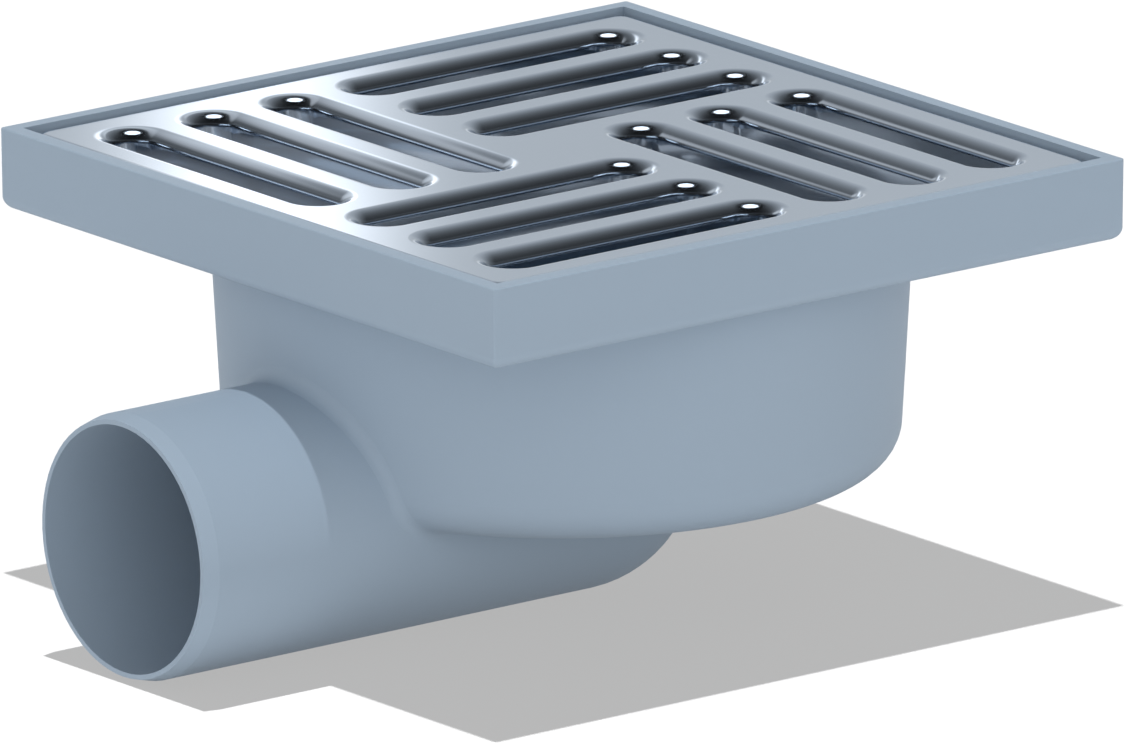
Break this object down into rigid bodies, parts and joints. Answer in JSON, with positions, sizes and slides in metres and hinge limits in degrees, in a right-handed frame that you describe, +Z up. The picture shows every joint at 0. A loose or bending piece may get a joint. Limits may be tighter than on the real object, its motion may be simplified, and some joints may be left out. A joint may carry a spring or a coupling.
{
  "type": "floor drain",
  "caption": "Floor drain with a square tray, a slotted steel grate, a round pot with a lift-out bell trap, and a horizontal outlet spigot under it.",
  "frame": {"origin": "centre of the tray's top rim, level with the finished floor", "axes": "+Z up out of the floor; the outlet spigot points along -X; the tray's sides lie along X and Y"},
  "size_m": [0.1765, 0.1478, 0.085],
  "materials": {
    "body_plastic": "satin moulded blue-grey",
    "grate_steel": "polished pressed sheet",
    "trap_plastic": "satin moulded pale grey",
    "seal_rubber": "smooth black"
  },
  "bodies": {
    "root": {"drain_body": "body_plastic", "grate": "grate_steel", "trap_cup": "trap_plastic", "seal_ring": "seal_rubber", "bell_cap": "trap_plastic"}
  },
  "joints": []
}
